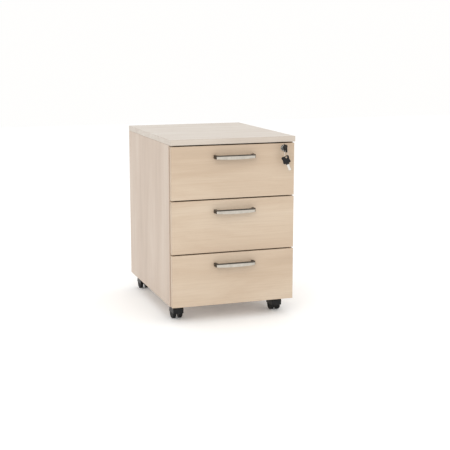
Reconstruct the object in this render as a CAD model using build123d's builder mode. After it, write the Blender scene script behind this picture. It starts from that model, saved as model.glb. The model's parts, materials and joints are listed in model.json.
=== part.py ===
from build123d import *

import os
from math import cos, radians, sin

os.makedirs("parts", exist_ok=True)

# Rolling pedestal cabinet: three equal drawers in a board carcass on four twin-wheel castors.
# Millimetres, +Z up, the drawer fronts face -Y, and the floor is Z = 0 under the middle.

# Carcass
cabinet_width = 420.0
cabinet_depth = 540.0
carcass_height = 540.0
board = 18.0
castor_height = 55.0
edge_round = 1.0

# Drawer fronts
drawer_names = ["bottom", "middle", "top"]
front_gap = 4.0
front_side_reveal = 2.5
front_rear_gap = 2.0
top_overhang = 2.0

# Drawer trays and their roller runners
tray_depth = 450.0
tray_top_clearance = 5.0
tray_floor_above_front = 24.0
tray_corner_round = 3.0
side_gap = 12.5
sheet = 1.2
roller_radius = 9.0
roller_width = 6.0
roller_inset = 2.3
roller_end_play = 0.2
rolling_gap = 0.3
running_clearance = 0.05
roller_pin_radius = 2.5
pin_shoulder_radius = 4.0
pin_head_radius = 3.2
pin_head_thickness = 0.7
channel_gap = 0.7
channel_lip = 9.6
flange_width = 8.0
flange_lift = 1.0
runner_length = 450.0
front_roller_inset = 13.0
rear_roller_inset = 12.0
roller_chamfer = 0.6
upper_lip_start = 30.0
runner_screw_front = 45.0
runner_screw_rear = 35.0
runner_screw_below_lip = 0.5

# Fasteners
screw_radius = 2.0
screw_length = 14.0
screw_head_radius = 3.0
screw_head_height = 1.8
screw_head_round = 0.8
recess_length = 3.6
recess_width = 0.9
recess_depth = 0.8
handle_screw_length = 24.0
handle_screw_head_radius = 4.0
handle_screw_head_height = 2.6
handle_recess_length = 4.8
tray_screw_spacing = 240.0
tray_screw_margin = 20.0
cam_radius = 7.5
cam_depth = 12.5
cam_slot_length = 9.8
cam_slot_width = 2.0
cam_slot_depth = 2.0
cam_edge_distance = 34.0
top_cam_setbacks = (90.0, 110.0)
floor_cam_setbacks = (110.0, 130.0)

# Handles
handle_spacing = 128.0
handle_leg = 8.0
handle_height = 14.0
handle_reach = 25.0
handle_grip = 8.0
handle_corner = 9.0
handle_drop = 37.0
handle_arch = 3.0

# Lock, keys and key ring
lock_from_edge = 38.5
lock_drop = 15.0
rosette_radius = 10.0
rosette_thickness = 2.2
rosette_round = 1.0
lock_body_radius = 8.0
lock_body_length = 24.0
plug_radius = 6.0
plug_proud = 0.4
cam_disc_radius = 9.0
cam_disc_thickness = 2.0
cam_disc_gap = 0.3
cam_pin_radius = 2.5
cam_pin_orbit = 7.0
cam_pin_overrun = 1.0
lock_turn = 90.0
key_thickness = 2.1
key_blade_height = 8.2
key_blade_length = 20.0
key_tip = 1.8
key_cut_width = 2.4
key_cuts = ((6.0, 1.2), (10.0, 2.0), (14.0, 1.5))
key_slot_clearance = 0.1
key_slot_extra = 1.0
key_collar = 4.0
key_collar_height = 11.2
key_seat_gap = 0.5
key_head_length = 25.0
key_head_height = 25.0
key_head_thickness = 3.2
key_head_round = 5.0
key_hole_radius = 3.0
key_hole_inset = 5.5
key_hole_offset = 3.6
ring_radius = 11.0
ring_wire_radius = 0.9
ring_yaw = 38.0
ring_sag = 1.2
spare_key_yaw = -19.0
spare_key_tilt = 22.0

# Central locking bar in the right side panel
guide_margin = 0.7
bar_width = 11.2
bar_thickness = 3.0
bar_clearance = 0.4
groove_depth = 4.0
guide_length = 28.6
guide_height = 12.0
guide_thickness = 1.0
guide_screw_spacing = 21.0
guide_above_front = 84.0
stud_radius = 3.0
stud_reach = 9.0
stud_above_front = 31.1
catch_thickness = 2.0
catch_clearance = 0.6
catch_reach = 7.0
catch_above_stud = 1.2
bracket_thickness = 2.0
bracket_height = 18.0
bracket_end_margin = 6.0
bar_end_margin = 8.0

# Castors
wheel_radius = 20.0
wheel_width = 11.5
wheel_round = 3.0
wheel_gap = 0.5
castor_web = 10.0
castor_trail = 16.0
hood_clearance = 1.2
hood_wall = 2.0
hood_nose = 10.0
hood_nose_drop = 3.0
hood_nose_round = 4.0
axle_radius = 3.0
axle_boss_radius = 7.5
axle_end_wall = 2.3
swivel_neck_radius = 9.0
swivel_pin_radius = 3.25
swivel_pin_length = 11.0
swivel_gap = 0.25
castor_plate_size = 38.0
castor_plate_thickness = 2.0
castor_plate_round = 4.0
castor_race_radius = 12.0
castor_race_thickness = 1.8
castor_screw_spacing = 27.0
castor_from_side = 38.0
front_castor_setback = 65.0
rear_castor_setback = 45.0

# Places worked out from the sizes above
hole_from_collar = key_collar + key_head_length - key_hole_inset
key_hole_reach = rosette_thickness + plug_proud + hole_from_collar
ring_reach = ring_radius * sin(radians(ring_yaw)) + ring_wire_radius
front_face = (key_hole_reach + ring_reach - cabinet_depth) / 2
rear_face = front_face + cabinet_depth
front_back = front_face + board
side_front = front_back + front_rear_gap
half_width = cabinet_width / 2
inner_half = half_width - board
carcass_bottom = castor_height
carcass_top = carcass_bottom + carcass_height
side_height = carcass_height - board
side_top = carcass_top - board
floor_top = carcass_bottom + board
front_pitch = side_height / len(drawer_names)
front_height = front_pitch - front_gap
front_width = cabinet_width - 2 * front_side_reveal
front_bottoms = [carcass_bottom + front_pitch * level for level in range(len(drawer_names))]
top_front_top = front_bottoms[-1] + front_height

bar_y = side_front + guide_margin + guide_length / 2
tray_half = inner_half - side_gap
tray_height = (front_height - handle_drop - handle_screw_head_radius
               - tray_top_clearance - tray_floor_above_front)
tray_rear = front_back + tray_depth
track = tray_floor_above_front
rear_roller_height = track + rolling_gap + roller_radius
upper_lip = track + 2 * roller_radius + rolling_gap + channel_gap
flange = upper_lip + sheet + flange_lift
front_roller_height = flange - rolling_gap - roller_radius
runner_start = bar_y + guide_length / 2 + guide_margin
front_roller_y = runner_start + front_roller_inset
rear_roller_y = tray_rear - rear_roller_inset
roller_inner = tray_half + roller_inset
roller_outer = roller_inner + roller_width
runner_web = inner_half - sheet

lock_x = half_width - lock_from_edge - front_side_reveal
lock_z = top_front_top - lock_drop
pin_rest_angle = radians(90 + lock_turn / 2)
pin_rest_x = lock_x - cam_pin_orbit * sin(pin_rest_angle)
pin_rest_z = lock_z + cam_pin_orbit * cos(pin_rest_angle)
disc_front = front_face + lock_body_length + cam_disc_gap
pin_end = bar_y + bracket_thickness + cam_pin_overrun


def facing_front(y):
    """Sketch plane at depth y: X to the right, Z up, extruding towards the front."""
    return Plane.XZ.offset(-y)


def facing_right(x):
    """Sketch plane at x: Y to the right, Z up, extruding towards +X."""
    return Plane.YZ.offset(x)


def save(builder, label):
    builder.part.label = label
    export_step(builder.part, "parts/" + label + ".step")


def box_between(low, high, mode=Mode.ADD):
    """An upright box from one corner to the opposite one, in the open BuildPart."""
    with Locations(low):
        Box(*[b - a for a, b in zip(low, high)], align=(Align.MIN,) * 3, mode=mode)


def disc(plane, centre, radius, length, mode=Mode.ADD):
    """A cylinder standing on a plane, in the open BuildPart."""
    with BuildSketch(plane) as circle:
        with Locations(centre):
            Circle(radius)
    extrude(circle.sketch, amount=length, mode=mode)


# Every screw is a plane at the underside of its head, with the shank along the plane's -Z.
def screw_plane(point, towards_head):
    return Plane(origin=point, z_dir=towards_head)


def runner_screw_planes(side):
    return [
        screw_plane((side * runner_web, runner_start + along, bottom + screw_height), (-side, 0, 0))
        for bottom in front_bottoms
        for along in (runner_screw_front, runner_length / 2, runner_length - runner_screw_rear)
    ]


screw_height = upper_lip - runner_screw_below_lip - screw_head_radius
guide_screw_planes = [
    screw_plane((inner_half - guide_thickness, bar_y + step, bottom + guide_above_front), (-1, 0, 0))
    for bottom in front_bottoms
    for step in (-guide_screw_spacing / 2, guide_screw_spacing / 2)
]
castor_centres = {
    "front_left": (-half_width + castor_from_side, front_face + front_castor_setback),
    "front_right": (half_width - castor_from_side, front_face + front_castor_setback),
    "rear_left": (-half_width + castor_from_side, rear_face - rear_castor_setback),
    "rear_right": (half_width - castor_from_side, rear_face - rear_castor_setback),
}
castor_screw_planes = [
    screw_plane(
        (x + dx * castor_screw_spacing / 2, y + dy * castor_screw_spacing / 2,
         carcass_bottom - castor_plate_thickness),
        (0, 0, -1),
    )
    for x, y in castor_centres.values()
    for dx in (-1, 1)
    for dy in (-1, 1)
]


def pilot_holes(planes):
    """Bores for the shanks of the screws at these planes, cut from the open BuildPart."""
    for plane in planes:
        disc(plane, (0, 0), screw_radius, -screw_length, mode=Mode.SUBTRACT)


def cam_planes(side):
    """Planes at the open ends of the cam bores that clamp the top to one side panel."""
    return [
        Plane(origin=(side * inner_half, y, side_top - cam_edge_distance), z_dir=(-side, 0, 0))
        for y in (side_front + top_cam_setbacks[0], rear_face - top_cam_setbacks[1])
    ]


floor_cam_planes = [
    Plane(origin=(side * (inner_half - cam_edge_distance), y, carcass_bottom), z_dir=(0, 0, -1))
    for side in (-1, 1)
    for y in (side_front + floor_cam_setbacks[0], rear_face - floor_cam_setbacks[1])
]


def cam_bores(planes):
    for plane in planes:
        disc(plane, (0, 0), cam_radius, -cam_depth, mode=Mode.SUBTRACT)


# Carcass panels
with BuildPart() as top_panel:
    box_between((-half_width, front_face - top_overhang, side_top),
                (half_width, rear_face, carcass_top))
    fillet(faces().sort_by(Axis.Z)[-1].edges(), edge_round)
save(top_panel, "top_panel")

for side, name in ((-1, "left"), (1, "right")):
    with BuildPart() as side_panel:
        box_between(
            (min(side * inner_half, side * half_width), side_front, carcass_bottom),
            (max(side * inner_half, side * half_width), rear_face, side_top),
        )
        cam_bores(cam_planes(side))
        pilot_holes(runner_screw_planes(side))
        if name == "right":
            groove_half = bar_width / 2 + bar_clearance
            box_between(
                (inner_half, bar_y - groove_half, floor_top),
                (inner_half + groove_depth, bar_y + groove_half, side_top),
                mode=Mode.SUBTRACT,
            )
            pilot_holes(guide_screw_planes)
    save(side_panel, name + "_side_panel")

with BuildPart() as back_panel:
    box_between((-inner_half, rear_face - board, carcass_bottom), (inner_half, rear_face, side_top))
save(back_panel, "back_panel")

with BuildPart() as bottom_panel:
    box_between((-inner_half, side_front, carcass_bottom),
                (inner_half, rear_face - board, floor_top))
    cam_bores(floor_cam_planes)
    pilot_holes(castor_screw_planes)
save(bottom_panel, "bottom_panel")

# Cam nuts, each with a cross slot in its open face
with BuildPart() as cam_nuts:
    for plane in cam_planes(-1) + cam_planes(1) + floor_cam_planes:
        disc(plane, (0, 0), cam_radius, -cam_depth)
        with BuildSketch(plane):
            Rectangle(cam_slot_length, cam_slot_width)
            Rectangle(cam_slot_width, cam_slot_length)
        extrude(amount=-cam_slot_depth, mode=Mode.SUBTRACT)
save(cam_nuts, "cam_nuts")


# Screws
with BuildPart() as pan_head_screw:
    disc(Plane.XY, (0, 0), screw_radius, -screw_length)
    disc(Plane.XY, (0, 0), screw_head_radius, screw_head_height)
    fillet(edges().sort_by(Axis.Z)[-1], screw_head_round)
    with BuildSketch(Plane.XY.offset(screw_head_height)):
        Rectangle(recess_length, recess_width)
        Rectangle(recess_width, recess_length)
    extrude(amount=-recess_depth, mode=Mode.SUBTRACT)


def screw_group(planes, label):
    with BuildPart() as group:
        with Locations(*[Location(plane) for plane in planes]):
            add(pan_head_screw.part)
    save(group, label)


screw_group(
    runner_screw_planes(-1) + runner_screw_planes(1) + guide_screw_planes + castor_screw_planes,
    "wood_screws",
)


# Roller runners: a C-shaped channel on each side panel, with a fixed roller pin at its front end
def runner(side, bottom, label):
    with BuildPart() as channel:
        for low, high, start in (
            (track - sheet, track, 0.0),
            (upper_lip, upper_lip + sheet, upper_lip_start),
        ):
            box_between(
                (min(side * inner_half, side * (inner_half - channel_lip)),
                 runner_start + start, bottom + low),
                (max(side * inner_half, side * (inner_half - channel_lip)),
                 runner_start + runner_length, bottom + high),
            )
        box_between(
            (min(side * runner_web, side * inner_half), runner_start, bottom + track - sheet),
            (max(side * runner_web, side * inner_half), runner_start + runner_length,
             bottom + upper_lip + sheet),
        )
        roller_pin(side, runner_web, roller_outer, roller_inner, front_roller_y,
                   bottom + front_roller_height)
        pilot_holes([
            plane for plane in runner_screw_planes(side) if 0 < plane.origin.Z - bottom < front_pitch
        ])
    save(channel, label)


def roller_pin(side, root, near, far, y, z):
    """A shouldered pin from a sheet at x = root, carrying a roller between near and far."""
    outwards = 1 if far > near else -1
    shoulder_end = near - outwards * roller_end_play
    head_start = far + outwards * roller_end_play
    head_end = head_start + outwards * pin_head_thickness
    disc(facing_right(side * root), (y, z), pin_shoulder_radius, side * (shoulder_end - root))
    disc(facing_right(side * root), (y, z), roller_pin_radius, side * (head_end - root))
    disc(facing_right(side * head_start), (y, z), pin_head_radius, side * (head_end - head_start))


def roller_pair(y, z, label):
    """The left and right rollers on one axis line."""
    with BuildPart() as rollers:
        for side in (-1, 1):
            with BuildSketch(facing_right(side * roller_inner)):
                with Locations((y, z)):
                    Circle(roller_radius)
                    Circle(roller_pin_radius + running_clearance, mode=Mode.SUBTRACT)
            extrude(amount=side * roller_width)
        chamfer(edges().filter_by(lambda edge: edge.geom_type == GeomType.CIRCLE
                                  and abs(edge.radius - roller_radius) < 0.01), roller_chamfer)
    save(rollers, label)


# Drawers
def tray_front_screw_planes(bottom):
    return [
        screw_plane((x, front_back + sheet, bottom + z), (0, 1, 0))
        for x in (-tray_screw_spacing / 2, tray_screw_spacing / 2)
        for z in (track + tray_screw_margin, track + tray_height - tray_screw_margin)
    ]


def handle_screw_planes(bottom):
    return [
        screw_plane((side * handle_spacing / 2, front_back, bottom + front_height - handle_drop),
                    (0, 1, 0))
        for side in (-1, 1)
    ]


def tray(bottom, label):
    """A folded steel tray with runner flanges, rear roller pins and a catch for the locking bar."""
    floor_z = bottom + tray_floor_above_front
    with BuildPart() as steel_tray:
        box_between((-tray_half, front_back, floor_z), (tray_half, tray_rear, floor_z + tray_height))
        fillet(edges().filter_by(Axis.Z), tray_corner_round)
        offset(amount=-sheet, openings=faces().sort_by(Axis.Z)[-1])
        for side in (-1, 1):
            box_between(
                (min(side * (tray_half - sheet / 2), side * (tray_half + flange_width)),
                 front_back + tray_corner_round, bottom + flange),
                (max(side * (tray_half - sheet / 2), side * (tray_half + flange_width)),
                 tray_rear - tray_corner_round, bottom + flange + sheet),
            )
            roller_pin(side, tray_half - sheet / 2, roller_inner, roller_outer, rear_roller_y,
                       bottom + rear_roller_height)
        box_between(
            (tray_half - sheet / 2, bar_y + stud_radius + catch_clearance,
             bottom + stud_above_front + stud_radius + catch_above_stud),
            (tray_half + catch_reach, bar_y + stud_radius + catch_clearance + catch_thickness,
             bottom + flange + sheet / 2),
        )
        pilot_holes(tray_front_screw_planes(bottom))
    save(steel_tray, label)


def drawer_front(bottom, label, with_lock):
    with BuildPart() as front:
        box_between((-front_width / 2, front_face, bottom),
                    (front_width / 2, front_back, bottom + front_height))
        fillet(faces().sort_by(Axis.Y)[0].edges(), edge_round)
        pilot_holes(tray_front_screw_planes(bottom))
        for side in (-1, 1):
            disc(facing_front(front_back), (side * handle_spacing / 2, bottom + front_height - handle_drop),
                 screw_radius, board, mode=Mode.SUBTRACT)
        if with_lock:
            disc(facing_front(front_back), (lock_x, lock_z), lock_body_radius, board, mode=Mode.SUBTRACT)
    save(front, label)


def handle(bottom, label):
    """A bow handle: a deep bar on two legs, its lower edge arched and its ends turned up."""
    centre_z = bottom + front_height - handle_drop
    half_length = (handle_spacing + handle_leg) / 2
    low, high = centre_z - handle_height / 2, centre_z + handle_height / 2
    with BuildPart() as bow:
        with BuildSketch(facing_front(front_face)):
            with BuildLine():
                Polyline((-half_length, low + handle_arch), (-half_length, high), (half_length, high),
                         (half_length, low + handle_arch))
                ThreePointArc((half_length, low + handle_arch), (0, low),
                              (-half_length, low + handle_arch))
            make_face()
        extrude(amount=handle_reach)
        outer_front = faces().sort_by(Axis.Y)[0]
        fillet(outer_front.edges().filter_by(Axis.Z), handle_corner)
        box_between(
            (-half_length + handle_leg, front_face - handle_reach + handle_grip, low - 1),
            (half_length - handle_leg, front_face, high + 1),
            mode=Mode.SUBTRACT,
        )
        fillet(edges().filter_by(Axis.Z).filter_by_position(
            Axis.Y, front_face - handle_reach + handle_grip - 0.1,
            front_face - handle_reach + handle_grip + 0.1), handle_grip / 2)
        for side in (-1, 1):
            disc(facing_front(front_face), (side * handle_spacing / 2, centre_z), screw_radius,
                 handle_screw_length - board, mode=Mode.SUBTRACT)
    save(bow, label)


def handle_screws(bottom, label):
    with BuildPart() as screws:
        for plane in handle_screw_planes(bottom):
            disc(plane, (0, 0), screw_radius, -handle_screw_length)
            disc(plane, (0, 0), handle_screw_head_radius, handle_screw_head_height)
            with BuildSketch(plane.offset(handle_screw_head_height)):
                Rectangle(handle_recess_length, recess_width)
                Rectangle(recess_width, handle_recess_length)
            extrude(amount=-recess_depth, mode=Mode.SUBTRACT)
    save(screws, label)


for name, bottom in zip(drawer_names, front_bottoms):
    drawer_front(bottom, name + "_drawer_front", name == "top")
    tray(bottom, name + "_drawer_tray")
    handle(bottom, name + "_drawer_handle")
    handle_screws(bottom, name + "_handle_screws")
    screw_group(tray_front_screw_planes(bottom), name + "_front_screws")
    runner(-1, bottom, name + "_left_runner")
    runner(1, bottom, name + "_right_runner")
    roller_pair(front_roller_y, bottom + front_roller_height, name + "_cabinet_rollers")
    roller_pair(rear_roller_y, bottom + rear_roller_height, name + "_drawer_rollers")

# Lock in the top drawer front
with BuildPart() as lock_housing:
    disc(facing_front(front_face), (lock_x, lock_z), rosette_radius, rosette_thickness)
    fillet(faces().sort_by(Axis.Y)[0].edges(), rosette_round)
    disc(facing_front(front_face + lock_body_length), (lock_x, lock_z), lock_body_radius,
         lock_body_length)
    disc(facing_front(front_face + lock_body_length), (lock_x, lock_z), plug_radius + running_clearance,
         lock_body_length + rosette_thickness, mode=Mode.SUBTRACT)
save(lock_housing, "lock_housing")

plug_front = front_face - rosette_thickness - plug_proud
with BuildPart() as lock_plug:
    disc(facing_front(disc_front), (lock_x, lock_z), plug_radius, disc_front - plug_front)
    with BuildSketch(facing_front(plug_front)):
        with Locations((lock_x, lock_z)):
            Rectangle(key_thickness + 2 * key_slot_clearance, key_blade_height + 2 * key_slot_clearance)
    extrude(amount=-key_blade_length - key_slot_extra, mode=Mode.SUBTRACT)
    disc(facing_front(disc_front + cam_disc_thickness), (lock_x, lock_z), cam_disc_radius,
         cam_disc_thickness)
    disc(facing_front(pin_end), (pin_rest_x, pin_rest_z), cam_pin_radius, pin_end - disc_front)
save(lock_plug, "lock_plug")


# Keys, drawn on a plane whose X runs from the blade to the head and whose Z is the key's thickness
def key_head(plane, label):
    hole = (hole_from_collar, -key_hole_offset)
    with BuildPart() as head:
        with BuildSketch(plane.offset(-key_head_thickness / 2)):
            with Locations((key_collar + key_head_length / 2, 0)):
                RectangleRounded(key_head_length, key_head_height, key_head_round)
            with Locations((key_seat_gap, 0)):
                Rectangle(key_collar + key_head_round - key_seat_gap, key_collar_height,
                          align=(Align.MIN, Align.CENTER))
            with Locations(hole):
                Circle(key_hole_radius, mode=Mode.SUBTRACT)
        extrude(amount=key_head_thickness)
        with BuildSketch(plane.offset(-key_thickness / 2)):
            with Locations((key_collar + key_head_round, 0)):
                Rectangle(key_collar + key_head_round, key_blade_height, align=(Align.MAX, Align.CENTER))
        extrude(amount=key_thickness, mode=Mode.SUBTRACT)
    save(head, label)


def key_blade(plane, label):
    with BuildPart() as blade:
        with BuildSketch(plane.offset(-key_thickness / 2)):
            with Locations((key_collar + key_head_round, 0)):
                Rectangle(key_blade_length + key_collar + key_head_round, key_blade_height,
                          align=(Align.MAX, Align.CENTER))
            for distance, depth in key_cuts:
                with Locations((-distance, -key_blade_height / 2)):
                    Rectangle(key_cut_width, 2 * depth, mode=Mode.SUBTRACT)
        extrude(amount=key_thickness)
        across_edges = edges().filter_by(Axis(plane.origin, plane.z_dir))
        chamfer(across_edges.group_by(Axis(plane.origin, plane.x_dir))[0], key_tip)
    save(blade, label)


key_plane = Plane(origin=(lock_x, plug_front, lock_z), x_dir=(0, -1, 0), z_dir=(-1, 0, 0))
key_head(key_plane, "key_head")
key_blade(key_plane, "key_blade")

key_hole_y = plug_front - hole_from_collar
key_hole_z = lock_z - key_hole_offset
ring_centre_z = key_hole_z - ring_sag - ring_radius
with BuildPart() as key_ring:
    ring_normal = (-sin(radians(ring_yaw)), cos(radians(ring_yaw)), 0)
    ring_across = (cos(radians(ring_yaw)), sin(radians(ring_yaw)), 0)
    with BuildSketch(Plane(origin=(lock_x, key_hole_y, ring_centre_z), x_dir=(0, 0, 1), z_dir=ring_across)):
        with Locations((ring_radius, 0)):
            Circle(ring_wire_radius)
    revolve(axis=Axis((lock_x, key_hole_y, ring_centre_z), ring_normal))
save(key_ring, "key_ring")

spare_hole = Vector(lock_x, key_hole_y, ring_centre_z - ring_radius - ring_sag)
spare_normal = Vector(sin(radians(spare_key_yaw)), -cos(radians(spare_key_yaw)), 0)
spare_right = Vector(cos(radians(spare_key_yaw)), sin(radians(spare_key_yaw)), 0)
spare_up = spare_right * -sin(radians(spare_key_tilt)) + Vector(0, 0, cos(radians(spare_key_tilt)))
spare_across = spare_normal.cross(spare_up)
spare_origin = spare_hole - spare_up * hole_from_collar + spare_across * key_hole_offset
spare_plane = Plane(origin=spare_origin, x_dir=spare_up, z_dir=spare_normal)
key_head(spare_plane, "spare_key_head")
key_blade(spare_plane, "spare_key_blade")

# Locking bar with a stud for each drawer and a slotted bracket for the lock's pin
bar_x = inner_half + (groove_depth - bar_thickness) / 2
with BuildPart() as lock_bar:
    bracket_low = pin_rest_z - bracket_height / 2
    box_between(
        (bar_x, bar_y - bar_width / 2, floor_top + bar_end_margin),
        (bar_x + bar_thickness, bar_y + bar_width / 2, bracket_low + bracket_height),
    )
    for bottom in front_bottoms:
        disc(facing_right(bar_x), (bar_y, bottom + stud_above_front), stud_radius, -stud_reach)
    slot_left = lock_x - cam_pin_orbit - cam_pin_radius - bar_clearance
    slot_right = pin_rest_x + cam_pin_radius + bar_clearance
    box_between(
        (slot_left - bracket_end_margin, bar_y - bracket_thickness / 2, bracket_low),
        (bar_x + bar_thickness / 2, bar_y + bracket_thickness / 2, bracket_low + bracket_height),
    )
    slot_half = cam_pin_radius + bar_clearance
    box_between(
        (slot_left, bar_y - bracket_thickness, pin_rest_z - slot_half),
        (slot_right, bar_y + bracket_thickness, pin_rest_z + slot_half),
        mode=Mode.SUBTRACT,
    )
save(lock_bar, "lock_bar")

with BuildPart() as lock_bar_guides:
    for bottom in front_bottoms:
        middle = bottom + guide_above_front
        box_between(
            (inner_half - guide_thickness, bar_y - guide_length / 2, middle - guide_height / 2),
            (inner_half, bar_y + guide_length / 2, middle + guide_height / 2),
        )
    pilot_holes(guide_screw_planes)
save(lock_bar_guides, "lock_bar_guides")


# Castors
with BuildPart() as castor_plates:
    for x, y in castor_centres.values():
        with BuildSketch(Plane.XY.offset(carcass_bottom - castor_plate_thickness)):
            with Locations((x, y)):
                RectangleRounded(castor_plate_size, castor_plate_size, castor_plate_round)
        extrude(amount=castor_plate_thickness)
        race_top = carcass_bottom - castor_plate_thickness
        disc(Plane.XY.offset(race_top), (x, y), castor_race_radius, -castor_race_thickness)
        disc(Plane.XY.offset(race_top), (x, y), swivel_pin_radius,
             -castor_race_thickness - swivel_pin_length)
    pilot_holes(castor_screw_planes)
save(castor_plates, "castor_plates")

hood_half = castor_web / 2 + wheel_gap + wheel_width + wheel_gap
hood_radius = wheel_radius + hood_clearance + hood_wall
neck_top = carcass_bottom - castor_plate_thickness - castor_race_thickness - swivel_gap


def castor(name, x, y):
    axle_y = y + castor_trail
    with BuildPart() as hood:
        with BuildSketch(facing_right(x - hood_half)):
            with Locations((axle_y, wheel_radius)):
                Circle(hood_radius)
            with Locations((y - hood_nose, wheel_radius)):
                Rectangle(castor_trail + hood_nose, hood_radius - hood_nose_drop,
                          align=(Align.MIN, Align.MIN))
            with Locations((axle_y, wheel_radius)):
                Rectangle(4 * hood_radius, 2 * hood_radius, align=(Align.CENTER, Align.MAX),
                          mode=Mode.SUBTRACT)
        extrude(amount=2 * hood_half)
        fillet(edges().filter_by(Axis.X).sort_by(Axis.Y)[0:2].sort_by(Axis.Z)[-1], hood_nose_round)
        for side in (-1, 1):
            disc(facing_right(x + side * castor_web / 2), (axle_y, wheel_radius),
                 wheel_radius + hood_clearance, side * (hood_half + wheel_gap), mode=Mode.SUBTRACT)
        disc(facing_right(x - castor_web / 2), (axle_y, wheel_radius), axle_boss_radius, castor_web)
        disc(Plane.XY.offset(neck_top), (x, y), swivel_neck_radius, -swivel_pin_length)
        disc(Plane.XY.offset(neck_top), (x, y), swivel_pin_radius + running_clearance,
             -swivel_pin_length, mode=Mode.SUBTRACT)
        disc(facing_right(x - castor_web / 2), (axle_y, wheel_radius), axle_radius, castor_web,
             mode=Mode.SUBTRACT)
    save(hood, name + "_castor_hood")

    axle_half = castor_web / 2 + wheel_gap + wheel_width - axle_end_wall
    with BuildPart() as axle:
        disc(facing_right(x - axle_half), (axle_y, wheel_radius), axle_radius, 2 * axle_half)
    save(axle, name + "_castor_axle")

    for side, side_name in ((-1, "left"), (1, "right")):
        inner = castor_web / 2 + wheel_gap
        with BuildPart() as wheel:
            with BuildSketch(facing_right(x + side * inner)):
                with Locations((axle_y, wheel_radius)):
                    Circle(wheel_radius)
            extrude(amount=side * wheel_width)
            outer_face = faces().filter_by(Axis.X).sort_by(Axis.X)[-1 if side > 0 else 0]
            fillet(outer_face.edges(), wheel_round)
            disc(facing_right(x + side * inner), (axle_y, wheel_radius), axle_radius + running_clearance,
                 side * (axle_half - inner + running_clearance), mode=Mode.SUBTRACT)
        save(wheel, name + "_castor_" + side_name + "_wheel")


for name, (x, y) in castor_centres.items():
    castor(name, x, y)
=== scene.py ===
import json
import math
from contextlib import contextmanager

import bmesh
import bpy
from mathutils import Matrix, Vector


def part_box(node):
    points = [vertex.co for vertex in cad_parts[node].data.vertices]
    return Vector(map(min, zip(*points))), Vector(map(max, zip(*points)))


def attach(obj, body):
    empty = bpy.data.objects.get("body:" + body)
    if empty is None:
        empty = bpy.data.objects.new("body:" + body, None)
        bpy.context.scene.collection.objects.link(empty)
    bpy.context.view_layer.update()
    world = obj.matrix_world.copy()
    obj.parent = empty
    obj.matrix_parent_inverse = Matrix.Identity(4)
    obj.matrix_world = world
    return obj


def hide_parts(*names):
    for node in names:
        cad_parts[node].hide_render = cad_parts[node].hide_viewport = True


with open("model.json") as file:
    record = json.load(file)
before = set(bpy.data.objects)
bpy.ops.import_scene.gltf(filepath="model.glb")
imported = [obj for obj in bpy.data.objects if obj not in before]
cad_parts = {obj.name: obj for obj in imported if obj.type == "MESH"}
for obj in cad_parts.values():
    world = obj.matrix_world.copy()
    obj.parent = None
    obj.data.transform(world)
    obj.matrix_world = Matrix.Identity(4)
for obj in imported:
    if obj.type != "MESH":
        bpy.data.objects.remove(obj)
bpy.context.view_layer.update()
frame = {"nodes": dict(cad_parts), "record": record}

MM = 0.001
NEAR = 0.1 * MM
DRAWERS = ("bottom", "middle", "top")
CASTORS = ("front_left", "front_right", "rear_left", "rear_right")
SIDES = {"left": -1, "right": 1}
X, Y, Z = Vector((1, 0, 0)), Vector((0, 1, 0)), Vector((0, 0, 1))

joints = {joint["name"]: joint for joint in frame["record"]["behaviour"]["joints"]}


def joint_at(name):
    """Where a joint's axis passes at rest, in metres."""
    return Vector(joints[name]["pos_m"])


# ---------------------------------------------------------------- shader expressions

class Term:
    """A shader socket that takes part in Python expressions."""

    def __init__(self, finish, socket):
        self.finish = finish
        self.socket = socket

    def maths(self, operation, *values):
        return self.finish.node("ShaderNodeMath", {"operation": operation}, dict(enumerate(values)))

    def __add__(self, other):
        return self.maths("ADD", self, other)

    def __sub__(self, other):
        return self.maths("SUBTRACT", self, other)

    def __rsub__(self, other):
        return self.maths("SUBTRACT", other, self)

    def __mul__(self, other):
        return self.maths("MULTIPLY", self, other)

    def __truediv__(self, other):
        return self.maths("DIVIDE", self, other)

    __radd__ = __add__
    __rmul__ = __mul__

    def least(self, other):
        return self.maths("MINIMUM", self, other)

    def most(self, other):
        return self.maths("MAXIMUM", self, other)

    def above(self, start, end):
        """0 where the value is below start, rising smoothly to 1 at end."""
        ramp = {"From Min": start, "From Max": end}
        settings = {"interpolation_type": "SMOOTHSTEP"}
        return self.finish.node("ShaderNodeMapRange", settings, {"Value": self, **ramp})


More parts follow.
